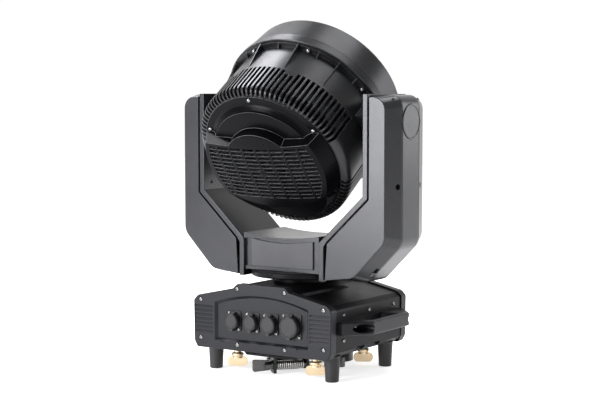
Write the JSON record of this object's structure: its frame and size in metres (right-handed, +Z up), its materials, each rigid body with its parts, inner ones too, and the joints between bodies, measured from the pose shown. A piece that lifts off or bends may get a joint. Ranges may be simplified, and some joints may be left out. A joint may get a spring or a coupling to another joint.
{
  "type": "moving head light",
  "caption": "Moving head wash light: a base with sockets and handles, a yoke that pans and a ribbed head that tilts, with zoom lenses behind a hooded glass.",
  "frame": {"origin": "on the floor plane under the pan axis, at the middle of the base", "axes": "+Z up along the pan axis, +X along the tilt axis to the right, -Y towards the connector panel; at rest the lens points to +Y and up"},
  "size_m": [0.4272, 0.316, 0.5867],
  "materials": {
    "base_moulding": "satin",
    "base_sheet": "matte",
    "rubber": "matte",
    "socket_black": "satin",
    "zinc_screw": "polished",
    "black_screw": "satin",
    "brass_wing": "satin",
    "clamp_black": "satin",
    "clamp_screw": "satin",
    "spring_steel": "satin",
    "display_glass": "polished",
    "circuit_board": "matte",
    "bare_metal": "satin",
    "bearing_steel": "polished",
    "motor_black": "satin",
    "belt_rubber": "matte",
    "yoke_plastic": "satin",
    "cross_panel": "satin",
    "badge": "gloss",
    "head_plastic": "satin",
    "rear_cover_gloss": "gloss",
    "heat_sink_metal": "satin",
    "fan_plastic": "matte",
    "lens_plate": "matte",
    "lens": "polished",
    "front_glass": "polished"
  },
  "bodies": {
    "base": {"connector_panel": "base_moulding", "display_panel": "base_moulding", "side_handles": "base_moulding", "base_tray": "base_sheet", "top_cover": "base_sheet", "omega_brackets": "base_sheet", "rubber_feet": "rubber", "data_sockets": "socket_black", "power_sockets": "socket_black", "base_screws": "zinc_screw", "clamp_hooks": "clamp_black", "clamp_springs": "spring_steel", "display_window": "display_glass", "control_board": "circuit_board", "power_supply": "bare_metal", "pan_motor": "motor_black", "pan_belt": "belt_rubber", "pan_bearing": "bearing_steel"},
    "yoke": {"pan_pulley": "bare_metal", "pan_flange": "base_sheet", "cross_cover": "yoke_plastic", "cross_panels": "cross_panel", "left_arm_frame": "yoke_plastic", "right_arm_frame": "yoke_plastic", "left_arm_cover": "yoke_plastic", "right_arm_cover": "yoke_plastic", "arm_badges": "badge", "yoke_screws": "black_screw", "tilt_motor": "motor_black", "tilt_belt": "belt_rubber", "tilt_bearings": "bearing_steel"},
    "head": {"tilt_shafts": "bare_metal", "tilt_pulley": "bare_metal", "front_shroud": "head_plastic", "front_housing": "head_plastic", "fin_cage": "head_plastic", "rear_cover": "rear_cover_gloss", "head_screws": "zinc_screw", "heat_sink": "heat_sink_metal", "cooling_fan": "fan_plastic", "led_board": "circuit_board", "front_glass": "front_glass"},
    "zoom": {"zoom_carrier": "lens_plate", "zoom_lenses": "lens"},
    "fan": {"fan_rotor": "fan_plastic"},
    "pan_drive": {"pan_motor_pulley": "bare_metal"},
    "tilt_drive": {"tilt_motor_pulley": "bare_metal"},
    "tilt_lock": {"tilt_lock_slider": "yoke_plastic"},
    "dial": {"menu_dial": "socket_black"},
    "button": {"escape_button": "socket_black"},
    "front_left_lock": {"front_left_lock": "brass_wing"},
    "front_right_lock": {"front_right_lock": "brass_wing"},
    "rear_left_lock": {"rear_left_lock": "brass_wing"},
    "rear_right_lock": {"rear_right_lock": "brass_wing"},
    "front_clamp_screw": {"front_clamp_screw": "clamp_screw"},
    "rear_clamp_screw": {"rear_clamp_screw": "clamp_screw"},
    "data_input_cap": {"data_input_cap": "rubber"},
    "data_output_cap": {"data_output_cap": "rubber"},
    "power_input_cap": {"power_input_cap": "rubber"},
    "power_output_cap": {"power_output_cap": "rubber"}
  },
  "joints": [
    {"name": "pan", "type": "hinge", "parent": "base", "child": "yoke", "pos_m": [0, 0, 0.158], "axis": [0, 0, 1], "range_deg": [-270, 270]},
    {"name": "tilt", "type": "hinge", "parent": "yoke", "child": "head", "pos_m": [0, 0, 0.418], "axis": [1, 0, 0], "range_deg": [-79.9, 190.1]},
    {"name": "zoom", "type": "slide", "parent": "head", "child": "zoom", "axis": [0, 0.8202, 0.5721], "range_m": [-0.01, 0.012]},
    {"name": "fan_spin", "type": "hinge", "parent": "head", "child": "fan", "pos_m": [0, 0, 0.418], "axis": [0, 0.8202, 0.5721], "continuous": true},
    {"name": "pan_motor_spin", "type": "hinge", "parent": "base", "child": "pan_drive", "pos_m": [0, 0.078, 0.112], "axis": [0, 0, 1], "range_deg": [-1080, 1080]},
    {"name": "tilt_motor_spin", "type": "hinge", "parent": "yoke", "child": "tilt_drive", "pos_m": [0.19, 0, 0.268], "axis": [1, 0, 0], "range_deg": [-267.33, 634.67]},
    {"name": "tilt_lock_slide", "type": "slide", "parent": "yoke", "child": "tilt_lock", "axis": [0.7071, 0, 0.7071], "range_m": [0, 0.008]},
    {"name": "menu_dial_turn", "type": "hinge", "parent": "base", "child": "dial", "pos_m": [0.052, 0.116, 0.1], "axis": [0, 1, 0], "continuous": true},
    {"name": "escape_button_press", "type": "slide", "parent": "base", "child": "button", "axis": [0, -1, 0], "range_m": [0, 0.002], "stiffness_N_per_m": 300},
    {"name": "front_left_lock_turn", "type": "hinge", "parent": "base", "child": "front_left_lock", "pos_m": [-0.0785, -0.0755, 0.02], "axis": [0, 0, 1], "range_deg": [0, 90]},
    {"name": "front_right_lock_turn", "type": "hinge", "parent": "base", "child": "front_right_lock", "pos_m": [0.0785, -0.0755, 0.02], "axis": [0, 0, 1], "range_deg": [0, 90]},
    {"name": "rear_left_lock_turn", "type": "hinge", "parent": "base", "child": "rear_left_lock", "pos_m": [-0.0785, 0.0755, 0.02], "axis": [0, 0, 1], "range_deg": [0, 90]},
    {"name": "rear_right_lock_turn", "type": "hinge", "parent": "base", "child": "rear_right_lock", "pos_m": [0.0785, 0.0755, 0.02], "axis": [0, 0, 1], "range_deg": [0, 90]},
    {"name": "front_clamp_screw_turn", "type": "hinge", "parent": "base", "child": "front_clamp_screw", "pos_m": [-0.001, -0.081, 0.015], "axis": [0.6691, 0.7431, 0], "continuous": true},
    {"name": "rear_clamp_screw_turn", "type": "hinge", "parent": "base", "child": "rear_clamp_screw", "pos_m": [0.046, 0.017, 0.015], "axis": [-0.9659, 0.2588, 0], "continuous": true},
    {"name": "data_input_cap_flip", "type": "hinge", "parent": "base", "child": "data_input_cap", "pos_m": [-0.0552, -0.121, 0.1026], "axis": [-1, 0, 0], "range_deg": [0, 95]},
    {"name": "data_output_cap_flip", "type": "hinge", "parent": "base", "child": "data_output_cap", "pos_m": [-0.0187, -0.121, 0.1026], "axis": [-1, 0, 0], "range_deg": [0, 95]},
    {"name": "power_input_cap_flip", "type": "hinge", "parent": "base", "child": "power_input_cap", "pos_m": [0.018, -0.121, 0.1042], "axis": [-1, 0, 0], "range_deg": [0, 95]},
    {"name": "power_output_cap_flip", "type": "hinge", "parent": "base", "child": "power_output_cap", "pos_m": [0.059, -0.121, 0.1074], "axis": [-1, 0, 0], "range_deg": [0, 95]}
  ],
  "couplings": [
    {"joint": "pan_motor_spin", "follows": "pan", "ratio": 4},
    {"joint": "tilt_motor_spin", "follows": "tilt", "ratio": 3.3333}
  ]
}
